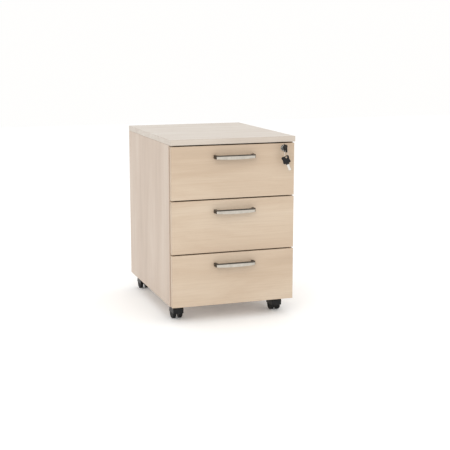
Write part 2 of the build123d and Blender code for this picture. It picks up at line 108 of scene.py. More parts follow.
class Finish:
    """One material and the nodes that make it."""

    def __init__(self, name, **fixed):
        self.material = bpy.data.materials.new(name)
        self.material.use_nodes = True
        self.tree = self.material.node_tree
        self.shader = self.tree.nodes["Principled BSDF"]
        for key, value in fixed.items():
            socket = key.replace("_", " ").title().replace("Ior", "IOR")
            self.shader.inputs[socket].default_value = value
        self.place = self.node("ShaderNodeTexCoord", output="Object")

    def feed(self, socket, value):
        if isinstance(value, Term):
            self.tree.links.new(value.socket, socket)
        else:
            socket.default_value = value

    def node(self, kind, settings=None, inputs=None, output=0):
        made = self.tree.nodes.new(kind)
        for key, value in (settings or {}).items():
            if key == "stops":
                self.set_stops(made.color_ramp, value)
            else:
                setattr(made, key, value)
        for key, value in (inputs or {}).items():
            self.feed(made.inputs[key], value)
        return Term(self, made.outputs[output])

    def set_stops(self, ramp, stops):
        while len(ramp.elements) < len(stops):
            ramp.elements.new(0.5)
        for element, (position, colour) in zip(ramp.elements, stops):
            element.position = position
            element.color = (*colour, 1.0)

    def scaled(self, x, y, z):
        """Object coordinates scaled along each axis, for a pattern stretched along a grain."""
        inputs = {"Vector": self.place, "Scale": (x, y, z)}
        return self.node("ShaderNodeMapping", None, inputs)

    def noise(self, where, scale, detail=3.0, roughness=0.5, distortion=0.0, seed=0.0):
        inputs = {"Vector": where, "W": seed, "Scale": scale, "Detail": detail,
                  "Roughness": roughness, "Distortion": distortion}
        return self.node("ShaderNodeTexNoise", {"noise_dimensions": "4D"}, inputs, output="Fac")

    def cells(self, where, scale, output="Distance"):
        return self.node("ShaderNodeTexVoronoi", None, {"Vector": where, "Scale": scale}, output)

    def ramp(self, value, stops):
        return self.node("ShaderNodeValToRGB", {"stops": stops}, {"Fac": value})

    def mix(self, factor, first, second, blend="MIX"):
        made = self.tree.nodes.new("ShaderNodeMix")
        made.data_type = "RGBA"
        made.blend_type = blend
        for socket, value in ((made.inputs[0], factor), (made.inputs[6], first), (made.inputs[7], second)):
            self.feed(socket, (*value, 1.0) if isinstance(value, tuple) else value)
        return Term(self, made.outputs[2])

    def axes(self):
        """The x, y and z of Object coordinates as separate values, in metres."""
        split = self.tree.nodes.new("ShaderNodeSeparateXYZ")
        self.feed(split.inputs[0], self.place)
        return [Term(self, output) for output in split.outputs]

    def finish(self, colour=None, roughness=None, metallic=None, height=None, depth=MM, strength=1.0):
        """Feeds the shader. height is a value from 0 to 1 and depth its real relief."""
        for socket, value in (("Base Color", colour), ("Roughness", roughness), ("Metallic", metallic)):
            if value is not None:
                self.feed(self.shader.inputs[socket], value)
        if height is not None:
            inputs = {"Height": height, "Distance": depth, "Strength": strength}
            bump = self.node("ShaderNodeBump", None, inputs)
            self.feed(self.shader.inputs["Normal"], bump)
        return self.material


# ---------------------------------------------------------------- finishes

MAPLE_TONES = ((0.30, (0.560, 0.425, 0.310)), (0.45, (0.645, 0.500, 0.372)),
               (0.56, (0.700, 0.562, 0.430)), (0.70, (0.760, 0.640, 0.515)))
MAPLE_FIBRE = (0.540, 0.395, 0.275)
MAPLE_DASH = (0.450, 0.310, 0.205)
MAPLE_EDGE = (0.500, 0.372, 0.265)
MAPLE_SCUFF = (0.830, 0.760, 0.660)


def maple(name, grain, seed, low, high, tint):
    """Maple-effect board with its grain along one axis, and a slightly darker, faintly scuffed edge."""
    def toned(colour):
        return tuple(part * share for part, share in zip(colour, tint))

    def stretched(across, lengthwise):
        return wood.scaled(*[lengthwise if axis == grain else across for axis in range(3)])

    wood = Finish(name, coat_weight=0.12, coat_roughness=0.32, specular_ior_level=0.5)
    broad = wood.noise(stretched(7.0, 0.9), 1.0, detail=2.5, roughness=0.45, distortion=0.5, seed=seed)
    figure = wood.noise(stretched(15.4, 1.98), 1.0, detail=4.0, roughness=0.6, distortion=1.6,
                        seed=seed + 3.1)
    fibre = wood.noise(stretched(260.0, 5.0), 1.0, detail=3.0, roughness=0.6, seed=seed + 5.0)
    dashes = wood.noise(stretched(900.0, 28.0), 1.0, detail=1.0, seed=seed + 9.0).above(0.62, 0.72)

    tone = wood.ramp(broad * 0.55 + figure * 0.45, [(stop, toned(colour)) for stop, colour in MAPLE_TONES])
    tone = wood.mix(fibre.above(0.40, 0.70) * 0.22, tone, toned(MAPLE_FIBRE))
    tone = wood.mix(dashes * 0.20, tone, toned(MAPLE_DASH))

    gaps = [(axis - a).least(b - axis) for axis, a, b in zip(wood.axes(), low, high)]
    second_nearest = gaps[0].most(gaps[1]).least(gaps[0].least(gaps[1]).most(gaps[2]))
    edge = 1 - second_nearest.above(0.4 * MM, 1.6 * MM)
    scuffs = wood.noise(wood.place, 90.0, detail=3.0, seed=seed + 2.0).above(0.45, 0.80)
    tone = wood.mix(edge * 0.30, tone, toned(MAPLE_EDGE))
    tone = wood.mix(edge * scuffs * 0.14, tone, toned(MAPLE_SCUFF))

    smear = wood.noise(wood.place, 14.0, detail=4.0, seed=seed + 7.0)
    roughness = 0.36 + smear * 0.10 + fibre * 0.06 + edge * 0.08
    relief = fibre * 0.6 - dashes * 0.5
    return wood.finish(tone, roughness, height=relief, depth=0.05 * MM, strength=0.6)


def brushed_metal(name, tint, dark, grain=0, shine=0.28, depth=0.02):
    """Metal brushed along one axis, with faint blotches in the plating and polished high spots."""
    metal = Finish(name, metallic=1.0)
    stretch = [1800.0] * 3
    stretch[grain] = 40.0
    lines = metal.noise(metal.scaled(*stretch), 1.0, detail=2.0, roughness=0.7)
    blotch = metal.noise(metal.place, 60.0, detail=4.0, roughness=0.6)
    colour = metal.mix(blotch.above(0.35, 0.70) * 0.6 + lines * 0.25, tint, dark)
    roughness = shine + lines * 0.12 + blotch * 0.10
    return metal.finish(colour, roughness, height=lines, depth=depth * MM, strength=0.5)


def plated_steel(name, tint, dark):
    """Bright zinc plate with soft spangles and a few duller stains."""
    metal = Finish(name, metallic=1.0)
    spangle = metal.cells(metal.place, 420.0, output="Color")
    grey = metal.node("ShaderNodeRGBToBW", None, {"Color": spangle})
    stain = metal.noise(metal.place, 45.0, detail=5.0, roughness=0.65).above(0.50, 0.72)
    colour = metal.mix(grey * 0.35 + stain * 0.45, tint, dark)
    roughness = 0.26 + grey * 0.12 + stain * 0.22
    return metal.finish(colour, roughness, height=grey, depth=0.01 * MM, strength=0.3)


def powder_coat(name, tint, dark):
    """Powder-coated steel: fine orange peel, slight mottling and rubbed patches."""
    coat = Finish(name, specular_ior_level=0.45)
    peel = coat.noise(coat.place, 900.0, detail=2.0)
    mottle = coat.noise(coat.place, 22.0, detail=4.0)
    rub = coat.noise(coat.scaled(30.0, 6.0, 30.0), 1.0, detail=5.0, roughness=0.7).above(0.60, 0.75)
    colour = coat.mix(mottle.above(0.30, 0.75) * 0.5 + peel * 0.15, tint, dark)
    roughness = 0.46 + peel * 0.10 - rub * 0.16
    return coat.finish(colour, roughness, height=peel, depth=0.06 * MM, strength=0.45)


def moulded_plastic(name, tint, worn, gloss=0.42, grain=1400.0, dust=0.25, relief=0.05):
    """Moulded plastic with a fine spark-eroded grain, handling shine and dust in patches."""
    plastic = Finish(name, specular_ior_level=0.3)
    skin = plastic.noise(plastic.place, grain, detail=2.0, roughness=0.6)
    patch = plastic.noise(plastic.place, 110.0, detail=5.0, roughness=0.65)
    specks = plastic.cells(plastic.place, 700.0).above(0.05, 0.16)
    colour = plastic.mix(patch.above(0.42, 0.75) * dust + (1 - specks) * dust * 0.5, tint, worn)
    roughness = gloss + skin * 0.10 + patch.above(0.40, 0.70) * 0.14
    return plastic.finish(colour, roughness, height=skin, depth=relief * MM, strength=0.5)


NYLON = (0.007, 0.007, 0.008)
GRIT = (0.075, 0.070, 0.062)
WHEEL_RADIUS = 20 * MM


def tyre_nylon(name, radius):
    """Black castor nylon: matt tread with grit and scuffs, the lighter flecks growing denser towards the
    bottom of the wheel.
    """
    nylon = Finish(name, specular_ior_level=0.25)
    skin = nylon.noise(nylon.place, 1200.0, detail=2.0)
    grit = nylon.noise(nylon.place, 320.0, detail=5.0, roughness=0.7).above(0.56, 0.70)
    # More of the lighter flecks towards the bottom of the wheel, by height above the floor.
    low = 1 - nylon.axes()[2].above(0.0, radius * 1.6)
    colour = nylon.mix(grit * (0.20 + low * 0.35), NYLON, GRIT)
    roughness = 0.40 + skin * 0.12 + grit * 0.25
    return nylon.finish(colour, roughness, height=skin + grit * 0.5, depth=0.06 * MM, strength=0.5)


# ---------------------------------------------------------------- modelling by operators

def alone(piece):
    """Makes a piece the only one selected."""
    bpy.ops.object.select_all(action="DESELECT")
    piece.select_set(True)
    bpy.context.view_layer.objects.active = piece


def settle(name):
    """Names the primitive just added and puts its place and size into its mesh."""
    piece = bpy.context.active_object
    piece.name = name
    piece.data.name = name
    alone(piece)
    bpy.ops.object.transform_apply(location=True, rotation=True, scale=True)
    return piece


def block(name, low, high):
    bpy.ops.object.select_all(action="DESELECT")
    low, high = Vector(low), Vector(high)
    bpy.ops.mesh.primitive_cube_add(size=1.0, location=(low + high) / 2, scale=high - low)
    return settle(name)


def rod(name, start, end, radius, sides=48):
    """A cylinder from one point to another."""
    bpy.ops.object.select_all(action="DESELECT")
    start, end = Vector(start), Vector(end)
    turn = (end - start).to_track_quat("Z", "Y").to_euler()
    bpy.ops.mesh.primitive_cylinder_add(vertices=sides, radius=radius, depth=(end - start).length,
                                        location=(start + end) / 2, rotation=turn)
    return settle(name)


class Bench:
    """Edit mode on one piece: pick() selects what a test says, and operators act on that."""

    def __init__(self, piece):
        self.piece = piece

    def pick(self, kind, test):
        bpy.ops.mesh.select_mode(type=kind)
        bpy.ops.mesh.select_all(action="DESELECT")
        mesh = bmesh.from_edit_mesh(self.piece.data)
        for element in {"VERT": mesh.verts, "EDGE": mesh.edges, "FACE": mesh.faces}[kind]:
            if test(element):
                element.select = True
        mesh.select_flush_mode()
        bmesh.update_edit_mesh(self.piece.data)

    def bevel(self, width, segments=3):
        bpy.ops.mesh.bevel(offset=width, segments=segments, affect="EDGES")

    def inset(self, width, depth=0.0):
        bpy.ops.mesh.inset(thickness=width, depth=depth, use_even_offset=True)

    def insets(self, steps):
        """Several insets one inside the other, each a width and a depth in millimetres."""
        for width, depth in steps:
            self.inset(width * MM, depth * MM)

    def move(self, step):
        bpy.ops.transform.translate(value=tuple(step))

    def slice(self, point, normal, clear_outer=False, clear_inner=False, fill=False):
        """Cuts every face along a plane, and keeps one side of it if asked."""
        bpy.ops.mesh.select_all(action="SELECT")
        bpy.ops.mesh.bisect(plane_co=tuple(point), plane_no=tuple(normal), use_fill=fill,
                            clear_outer=clear_outer, clear_inner=clear_inner)


@contextmanager
def bench(piece):
    """Edit mode on a piece for as long as the with block lasts."""
    alone(piece)
    bpy.ops.object.mode_set(mode="EDIT")
    yield Bench(piece)
    bpy.ops.object.mode_set(mode="OBJECT")


def along(axis):
    """A test for edges that run along an axis."""
    return lambda edge: abs((edge.verts[0].co - edge.verts[1].co).normalized().dot(axis)) > 0.999


def facing(direction, beyond=None):
    """A test for faces that look in a direction, past a height along it if one is given."""
    def test(face):
        looks = face.normal.dot(direction) > 0.95
        return looks and (beyond is None or face.calc_center_median().dot(direction) > beyond)
    return test


def rounded(piece, axis, radius, segments=4):
    """Rounds the edges of a block that run along an axis."""
    with bench(piece) as work:
        work.pick("EDGE", along(axis))
        work.bevel(radius, segments)
    return piece


def centre(element):
    """The middle of an edge's or a face's corners."""
    return sum((vert.co for vert in element.verts), Vector()) / len(element.verts)


def modify(piece, kind, **settings):
    """Adds a modifier with these settings and applies it."""
    alone(piece)
    modifier = piece.modifiers.new(kind.title(), kind)
    for key, value in settings.items():
        setattr(modifier, key, value)
    bpy.ops.object.modifier_apply(modifier=modifier.name)
    return piece


def merge(piece, other, operation):
    """Adds or cuts another solid, which is used up."""
    modify(piece, "BOOLEAN", object=other, operation=operation, solver="EXACT")
    mesh = other.data
    bpy.data.objects.remove(other)
    bpy.data.meshes.remove(mesh)
    return piece


def cut(piece, other):
    return merge(piece, other, "DIFFERENCE")


def weld(piece, other):
    return merge(piece, other, "UNION")


def join(piece, *others):
    """Makes several separate shells one object."""
    alone(piece)
    for other in others:
        other.select_set(True)
    bpy.ops.object.join()
    return piece


def soften(piece, width, segments=2, angle=30.0):
    """Eases every sharp edge."""
    modify(piece, "BEVEL", width=width, segments=segments, limit_method="ANGLE",
           angle_limit=math.radians(angle))
    return smooth(piece)


def smooth(piece, angle=40.0):
    """Smooth shading over rounds, with the flats kept flat."""
    alone(piece)
    bpy.ops.object.shade_smooth_by_angle(angle=math.radians(angle), keep_sharp_edges=False)
    return modify(piece, "WEIGHTED_NORMAL", keep_sharp=True, weight=80)


def copy_of(piece, name):
    """A copy with its own mesh."""
    mesh = piece.data.copy()
    mesh.name = name
    twin = bpy.data.objects.new(name, mesh)
    bpy.context.scene.collection.objects.link(twin)
    return twin


def place(piece, body, node, finish):
    """Hands a finished piece over: its finish, the body it rides on and the node it stands for."""
    piece.data.materials.clear()
    piece.data.materials.append(finish)
    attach(piece, body)
    if node:
        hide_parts(*([node] if isinstance(node, str) else node))
    return piece


def refinish(node, finish):
    """Gives a carried-over node its finish."""
    mesh = frame["nodes"][node].data
    mesh.materials.clear()
    mesh.materials.append(finish)


# ---------------------------------------------------------------- finishes in use

satin_nickel = brushed_metal("satin_nickel_face", (0.60, 0.56, 0.50), (0.45, 0.42, 0.37), shine=0.30)
# The same satin nickel tinted dark for the handle's bow, legs and top band: painted dark reflection, not a
# second finish.
nickel_painted_dark_reflection = brushed_metal("satin_nickel_painted_dark_reflection", (0.115, 0.100, 0.085), (0.060, 0.052, 0.045), shine=0.34)
bright_nickel = brushed_metal("lock_nickel", (0.78, 0.76, 0.72), (0.60, 0.58, 0.54),
                              grain=2, shine=0.16, depth=0.01)
zinc = plated_steel("zinc_plate", (0.70, 0.71, 0.72), (0.44, 0.45, 0.46))
tray_coat = powder_coat("tray_coat", (0.60, 0.60, 0.585), (0.50, 0.50, 0.49))
white_nylon = moulded_plastic("roller_nylon", (0.80, 0.80, 0.77), (0.62, 0.60, 0.56), gloss=0.38)
wheel_nylon = tyre_nylon("wheel_nylon", WHEEL_RADIUS)
black_castor = moulded_plastic("castor_black", (0.005, 0.005, 0.006), (0.026, 0.025, 0.024),
                               gloss=0.34)
key_black = moulded_plastic("key_black", (0.004, 0.004, 0.005), (0.018, 0.018, 0.017),
                            gloss=0.40, dust=0.15)


# ---------------------------------------------------------------- boards

# One maple decor for every board. The top's tint is lighter and cooler than the sides' and fronts': painted
# sheen for the overhead light the top faces.
TOP_TINT_PAINTED_SHEEN = (0.85, 0.96, 1.11)
SIDE_TINT = (0.823, 0.843, 0.905)
FRONT_TINT = (0.823, 0.818, 0.80)
EDGE_ROUND = 1.0 * MM
TOP_EDGE_ROUND = 1.2 * MM
CAM_RADIUS = 7.5 * MM
CAM_DEPTH = 12.5 * MM
CAM_EDGE = 34 * MM
TOP_CAMS = (90 * MM, 110 * MM)
FLOOR_CAMS = (110 * MM, 130 * MM)
BAR_CLEARANCE = 0.4 * MM
GROOVE_DEPTH = 4 * MM
LOCK_BORE = 8 * MM


def board(name, node, grain, seed, tint, round_edges=EDGE_ROUND):
    """A board at a panel's size, with its edges eased, and its finish."""
    low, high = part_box(node)
    piece = block(name, low, high)
    with bench(piece) as work:
        work.pick("EDGE", lambda edge: True)
        work.bevel(round_edges, 3)
    return smooth(piece), maple(name + "_maple", grain, seed, low, high, tint)


def cam_bores(piece, mouths, inwards):
    """Bores for the cam nuts, from their mouths in the face of a board."""
    for mouth in mouths:
        mouth = Vector(mouth)
        cut(piece, rod("bore", mouth - inwards * MM, mouth + inwards * CAM_DEPTH, CAM_RADIUS, 32))


bar_low, bar_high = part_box("lock_bar")
floor_low, floor_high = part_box("bottom_panel")
bar_y = (bar_low.y + bar_high.y) / 2

# The top board's maple is tinted lighter and cooler: painted sheen.
top_board, top_finish = board("top_board", "top_panel", 0, 1.0, TOP_TINT_PAINTED_SHEEN, TOP_EDGE_ROUND)
place(top_board, "carcass", "top_panel", top_finish)

back_board, back_finish = board("back_board", "back_panel", 2, 2.0, SIDE_TINT)
place(back_board, "carcass", "back_panel", back_finish)

for side, sign in SIDES.items():
    node = side + "_side_panel"
    side_low, side_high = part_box(node)
    side_board, side_finish = board(side + "_board", node, 2, 4.0 + sign, SIDE_TINT)
    inner = side_high.x if sign < 0 else side_low.x
    cam_bores(side_board, [(inner, side_low.y + TOP_CAMS[0], side_high.z - CAM_EDGE),
                           (inner, side_high.y - TOP_CAMS[1], side_high.z - CAM_EDGE)], sign * X)
    if side == "right":
        groove_half = (bar_high.y - bar_low.y) / 2 + BAR_CLEARANCE
        cut(side_board, block("groove", (inner - MM, bar_y - groove_half, floor_high.z),
                              (inner + GROOVE_DEPTH, bar_y + groove_half, side_high.z + MM)))
    place(smooth(side_board), "carcass", node, side_finish)

floor_board, floor_finish = board("floor_board", "bottom_panel", 1, 7.0, SIDE_TINT)
cam_bores(floor_board, [(x, y, floor_low.z) for x in (floor_low.x + CAM_EDGE, floor_high.x - CAM_EDGE)
                        for y in (floor_low.y + FLOOR_CAMS[0], side_high.y - FLOOR_CAMS[1])], Z)
place(smooth(floor_board), "carcass", "bottom_panel", floor_finish)

lock_low, lock_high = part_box("lock_housing")
lock = Vector(((lock_low.x + lock_high.x) / 2, 0, (lock_low.z + lock_high.z) / 2))
for number, drawer in enumerate(DRAWERS):
    node = drawer + "_drawer_front"
    front_low, front_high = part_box(node)
    front_board, front_finish = board(drawer + "_front_board", node, 0, 11.0 + 4.0 * number, FRONT_TINT)
    if drawer == "top":
        cut(front_board, rod("bore", (lock.x, front_low.y - MM, lock.z),
                             (lock.x, front_high.y + MM, lock.z), LOCK_BORE))
    place(smooth(front_board), drawer + "_drawer", node, front_finish)


# ---------------------------------------------------------------- handles

HANDLE_LEG = 8 * MM
HANDLE_GRIP = 8 * MM
HANDLE_CORNER = 9 * MM
HANDLE_ARCH = 3 * MM
HANDLE_FACE = 2.4 * MM
# Height of the band along the top of the handle that takes the darkened nickel: painted dark reflection.
HANDLE_PAINTED_DARK_TOP = 3.2 * MM
HANDLE_EASE = 0.7 * MM
HANDLE_STEPS = 6


def bow(drawer):
    """The whole bow of a handle: round corners, finger space behind, and an arched lower edge."""
    low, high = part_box(drawer + "_drawer_handle")
    middle, half = (low.x + high.x) / 2, (high.x - low.x) / 2
    piece = block(drawer + "_handle_body", low, high)
    with bench(piece) as work:
        stations = [middle + half * step / HANDLE_STEPS for step in range(1 - HANDLE_STEPS, HANDLE_STEPS)]
        for x in stations:
            work.slice((x, 0, 0), X)
        for x in stations + [low.x, high.x]:
            work.pick("VERT", lambda v: abs(v.co.x - x) < NEAR and v.co.z < low.z + MM)
            work.move((0, 0, HANDLE_ARCH * ((x - middle) / half) ** 2))
        work.pick("EDGE", lambda e: along(Z)(e) and centre(e).y < low.y + MM
                  and abs(centre(e).x - middle) > half - MM)
        work.bevel(HANDLE_CORNER, 8)
    space = block("space", (low.x + HANDLE_LEG, low.y + HANDLE_GRIP, low.z - MM),
                  (high.x - HANDLE_LEG, high.y + MM, high.z + MM))
    with bench(space) as work:
        work.pick("EDGE", lambda e: along(Z)(e) and centre(e).y < low.y + HANDLE_GRIP + MM)
        work.bevel(HANDLE_GRIP / 2, 5)
    return cut(piece, space), low, high


def handle(drawer):
    """A bow of satin nickel tinted dark as painted dark reflection, with a light nickel face let into its
    front, under a top band tinted dark the same way.
    """
    body, low, high = bow(drawer)
    face = copy_of(body, drawer + "_handle_face")
    seam = Vector((high.x + MM, low.y + HANDLE_FACE, high.z - HANDLE_PAINTED_DARK_TOP))
    with bench(face) as work:
        work.slice(seam, Y, clear_outer=True, fill=True)
        work.slice(seam, Z, clear_outer=True, fill=True)
    cut(body, block("recess", low - Vector((MM, MM, MM)), seam))
    node = drawer + "_drawer_handle"
    place(soften(face, HANDLE_EASE, 3), drawer + "_drawer", node, satin_nickel)
    # The legs, back and top band take the darkened nickel: painted dark reflection.
    place(soften(body, HANDLE_EASE, 3), drawer + "_drawer", node, nickel_painted_dark_reflection)


for drawer in DRAWERS:
    handle(drawer)


# ---------------------------------------------------------------- trays, runners and rollers

SHEET = 1.2 * MM
TRAY_CORNER = 3 * MM
FLANGE_WIDTH = 8 * MM
HEM_DEPTH = 9 * MM
FLOOR_RISE = 0.9 * MM
FLOOR_EDGE = 16 * MM
FLOOR_CORNER = 12 * MM
SHEET_EASE = 0.35 * MM
PANEL_EASE = 0.7 * MM
RUNNER_GAP = 12.5 * MM
ROLLING_GAP = 0.3 * MM
PIN = {"shoulder": 4 * MM, "shank": 2.5 * MM, "head": 3.2 * MM, "head_thickness": 0.7 * MM,
       "play": 0.2 * MM}
PIN_DISH = (1.1 * MM, -0.3 * MM)
ROLLER_WIDTH = 6 * MM
ROLLER_PLAY = 0.05 * MM
ROLLER_EASE = 0.35 * MM
CATCH_EASE = 0.3 * MM
CHANNEL_EASE = 0.25 * MM
ROLLER_FACE = ((1.6, 0.0), (0.3, -0.9), (2.2, 0.0), (0.2, 0.7))
CATCH_REACH = 7 * MM
CATCH_THICKNESS = 2 * MM
STUD_RADIUS = 3 * MM
STUD_RISE = 7.1 * MM
CATCH_GAP = 0.6 * MM
CATCH_ABOVE_STUD = 1.2 * MM
CATCH_CORNER = 2 * MM
CHANNEL_CORNER = 1.8 * MM
CHANNEL_LIP = 9.6 * MM
UPPER_LIP_START = 30 * MM
SLOT_STARTS = (100 * MM, 165 * MM, 290 * MM, 355 * MM)
SLOT_LENGTH = 22 * MM
SLOT_HALF = 3 * MM
SLOT_ROUND = 2.9 * MM

panel_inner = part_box("right_side_panel")[0].x
tray_half = panel_inner - RUNNER_GAP


def roller_pin(side, root, near, far, y, z):
    """A shouldered pin from a sheet at x = root, with its roller between near and far."""
    outwards = 1 if far > near else -1
    head = far + outwards * PIN["play"]
    end = head + outwards * PIN["head_thickness"]
    seat = near - outwards * PIN["play"]
    shoulder = rod("pin", (side * root, y, z), (side * seat, y, z), PIN["shoulder"], 32)
    shank = rod("shank", (side * root, y, z), (side * end, y, z), PIN["shank"], 32)
    cap = rod("cap", (side * head, y, z), (side * end, y, z), PIN["head"], 32)
    with bench(cap) as work:
        work.pick("FACE", facing(side * outwards * X))
        work.inset(*PIN_DISH)
    return join(shoulder, shank, cap)


def tray(drawer):
    """A folded tray: hemmed rim, raised floor panel, runner flanges, rear pins and the lock's catch."""
    low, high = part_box(drawer + "_drawer_tray")
    pan = block(drawer + "_tray", (-tray_half, low.y, low.z), (tray_half, high.y, high.z))
    rounded(pan, Z, TRAY_CORNER, 4)
    for wall, bottom, mouth in ((SHEET, low.z + SHEET, high.z - HEM_DEPTH),
                                (2 * SHEET, high.z - HEM_DEPTH - MM, high.z + MM)):
        space = block("space", (wall - tray_half, low.y + wall, bottom),
                      (tray_half - wall, high.y - wall, mouth))
        rounded(space, Z, TRAY_CORNER - wall / 2, 4)
        cut(pan, space)
    soften(pan, SHEET_EASE)
    panel = block("panel", (FLOOR_EDGE - tray_half, low.y + FLOOR_EDGE, low.z + SHEET / 2),
                  (tray_half - FLOOR_EDGE, high.y - FLOOR_EDGE, low.z + SHEET + FLOOR_RISE))
    rounded(panel, Z, FLOOR_CORNER, 6)

    rollers_low, rollers_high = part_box(drawer + "_cabinet_rollers")
    flange_z = rollers_high.z + ROLLING_GAP
    back_low, back_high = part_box(drawer + "_drawer_rollers")
    pin_y, pin_z = (back_low.y + back_high.y) / 2, (back_low.z + back_high.z) / 2
    roller_inner, roller_outer = back_high.x - ROLLER_WIDTH, back_high.x
    extras = [soften(panel, PANEL_EASE, 3)]
    for sign in (-1, 1):
        near, far = sorted((sign * (tray_half - SHEET / 2), sign * (tray_half + FLANGE_WIDTH)))
        flange = block("flange", (near, low.y + TRAY_CORNER, flange_z),
                       (far, high.y - TRAY_CORNER, flange_z + SHEET))
        extras.append(soften(flange, SHEET_EASE))
        extras.append(roller_pin(sign, tray_half - SHEET / 2, roller_inner, roller_outer, pin_y, pin_z))
    catch_y = bar_y + STUD_RADIUS + CATCH_GAP
    catch_z = low.z + STUD_RISE + STUD_RADIUS + CATCH_ABOVE_STUD
    catch = block("catch", (tray_half - SHEET / 2, catch_y, catch_z),
                  (tray_half + CATCH_REACH, catch_y + CATCH_THICKNESS, flange_z + SHEET / 2))
    with bench(catch) as work:
        work.pick("EDGE", lambda e: along(Y)(e) and centre(e).x > tray_half
                  and centre(e).z < flange_z - MM)
        work.bevel(CATCH_CORNER, 4)
    extras.append(soften(catch, CATCH_EASE))
    join(pan, *extras)
    place(pan, drawer + "_drawer", drawer + "_drawer_tray", tray_coat)


def runner(drawer, side, sign):
    """A pressed C channel with slots in its web and a fixed pin for the front roller."""
    node = drawer + "_" + side + "_runner"
    low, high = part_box(node)
    web, lip = panel_inner, panel_inner - CHANNEL_LIP
    near, far = sorted((sign * web, sign * lip))
    channel = block(drawer + "_" + side + "_channel", (near, low.y, low.z), (far, high.y, high.z))
    with bench(channel) as work:
        work.pick("FACE", lambda f: abs(f.normal.y) > 0.9 or f.normal.x * sign < -0.9)
        bpy.ops.mesh.delete(type="FACE")
        work.pick("EDGE", lambda e: along(Y)(e) and abs(abs(centre(e).x) - web) < NEAR)
        work.bevel(CHANNEL_CORNER, 4)
    modify(channel, "SOLIDIFY", thickness=SHEET, offset=-1.0)
    near, far = sorted((sign * (lip - MM), sign * (web - 1.5 * SHEET)))
    cut(channel, block("start", (near, low.y - MM, high.z - 3 * SHEET),
                       (far, low.y + UPPER_LIP_START, high.z + MM)))
    middle = (low.z + high.z) / 2
    for start in SLOT_STARTS:
        slot = block("slot", (sign * web - SLOT_HALF, low.y + start, middle - SLOT_HALF),
                     (sign * web + SLOT_HALF, low.y + start + SLOT_LENGTH, middle + SLOT_HALF))
        cut(channel, rounded(slot, X, SLOT_ROUND, 5))
    soften(channel, CHANNEL_EASE)
    box_low, box_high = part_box(drawer + "_cabinet_rollers")
    y, z = (box_low.y + box_high.y) / 2, (box_low.z + box_high.z) / 2
    pin = roller_pin(sign, web - SHEET, box_high.x, box_high.x - ROLLER_WIDTH, y, z)
    join(channel, pin)
    place(channel, "carcass", node, tray_coat)


def roller(drawer, carrier, side, sign):
    """A nylon roller: eased tread edges, recessed hub on both faces, bored for its pin."""
    node = drawer + "_" + carrier + "_rollers"
    low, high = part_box(node)
    y, z, radius = (low.y + high.y) / 2, (low.z + high.z) / 2, (high.z - low.z) / 2
    name = drawer + "_" + carrier + "_" + side + "_roller"
    wheel = rod(name, (sign * (high.x - ROLLER_WIDTH), y, z), (sign * high.x, y, z), radius, 48)
    with bench(wheel) as work:
        for way in (-X, X):
            work.pick("FACE", facing(way))
            work.insets(ROLLER_FACE)
    cut(wheel, rod("bore", (sign * (high.x - 2 * ROLLER_WIDTH), y, z),
                   (sign * (high.x + ROLLER_WIDTH), y, z), PIN["shank"] + ROLLER_PLAY, 32))
    place(soften(wheel, ROLLER_EASE), node, node, white_nylon)


for drawer in DRAWERS:
    tray(drawer)
    for side, sign in SIDES.items():
        runner(drawer, side, sign)
        roller(drawer, "cabinet", side, sign)
        roller(drawer, "drawer", side, sign)


# ---------------------------------------------------------------- lock

PLUG_RADIUS = 6 * MM
PLUG_PLAY = 0.05 * MM
BARREL_PLAY = 0.2 * MM
ROSETTE = 2.2 * MM
KEY_THICKNESS = 2.1 * MM
KEY_HEIGHT = 8.2 * MM
KEY_LENGTH = 20 * MM
KEYWAY_PLAY = 0.1 * MM
BARREL_TURNS = 12
BARREL_ENDS = (2 * MM, 1 * MM)
THREAD = (0.2 * MM, -0.35 * MM)
ROSETTE_RIM = ((1.0, 0.0), (0.5, -0.6))
PLUG_RIM = ((0.5, 0.0), (0.3, -0.15))
ROSETTE_EASE = 0.35 * MM
PLUG_EASE = 0.2 * MM
CAM_DISC = 9 * MM
CAM_DISC_EASE = 0.3 * MM
PIN_EASE = 0.4 * MM
CAM_DISC_THICKNESS = 2 * MM
CAM_DISC_GAP = 0.3 * MM
PIN_ORBIT = 7 * MM
PIN_RADIUS = 2.5 * MM

plug_low, plug_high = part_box("lock_plug")


def in_lock(y):
    return Vector((lock.x, y, lock.z))


def lock_housing():
    """The rosette, dished around its rim, and the threaded barrel behind it."""
    seat = lock_low.y + ROSETTE
    rosette = rod("lock_rosette", in_lock(seat), in_lock(lock_low.y), (lock_high.x - lock_low.x) / 2, 64)
    with bench(rosette) as work:
        work.pick("FACE", facing(-Y))
        work.insets(ROSETTE_RIM)
    barrel = rod("barrel", in_lock(seat), in_lock(lock_high.y), LOCK_BORE - BARREL_PLAY, 48)
    with bench(barrel) as work:
        pitch = (lock_high.y - seat - sum(BARREL_ENDS)) / BARREL_TURNS
        for turn in range(BARREL_TURNS):
            start = seat + BARREL_ENDS[0] + turn * pitch
            work.slice((0, start, 0), Y)
            work.slice((0, start + pitch / 2, 0), Y)
            y = start + pitch / 4
            work.pick("FACE", lambda f: abs(centre(f).y - y) < 0.2 * pitch and abs(f.normal.y) < 0.5)
            work.inset(*THREAD)
    weld(rosette, barrel)
    cut(rosette, rod("bore", in_lock(lock_low.y - MM), in_lock(lock_high.y + MM),
                     PLUG_RADIUS + PLUG_PLAY, 64))
    place(soften(rosette, ROSETTE_EASE, 3), "top_drawer", "lock_housing", bright_nickel)


